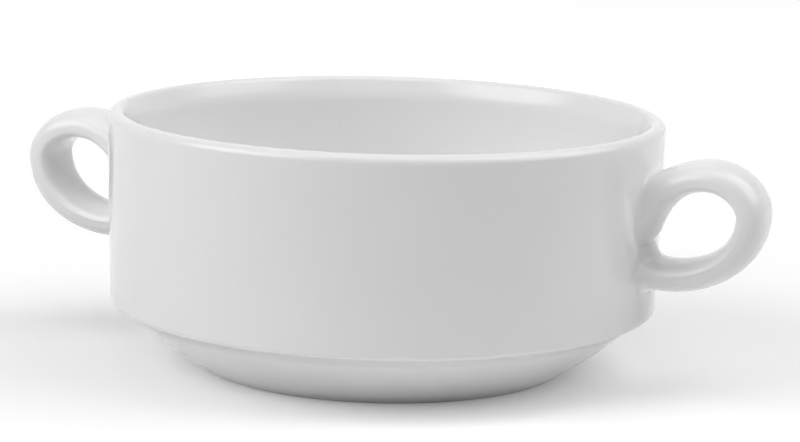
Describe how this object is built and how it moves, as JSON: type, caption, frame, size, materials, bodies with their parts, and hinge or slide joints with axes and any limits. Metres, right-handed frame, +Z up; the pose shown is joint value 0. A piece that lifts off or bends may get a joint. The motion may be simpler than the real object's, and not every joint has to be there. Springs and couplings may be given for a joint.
{
  "type": "bouillon cup",
  "caption": "Straight-sided stacking bouillon cup in white glazed porcelain, with ring handles on opposite sides, a rounded lip, a stacking ledge and a shallow bowl on a foot ring.",
  "frame": {"origin": "on the cup's axis, in the plane of the foot ring's underside", "axes": "+X through the right handle, +Z up out of the mouth"},
  "size_m": [0.153, 0.108, 0.0493],
  "materials": {
    "glazed_porcelain": "clear gloss glaze over white fired clay",
    "fired_slip": "fired slip under the same gloss glaze"
  },
  "bodies": {
    "root": {"cup_body": "glazed_porcelain", "right_handle": "glazed_porcelain", "left_handle": "glazed_porcelain", "right_upper_joint": "fired_slip", "right_lower_joint": "fired_slip", "left_upper_joint": "fired_slip", "left_lower_joint": "fired_slip"}
  },
  "joints": []
}
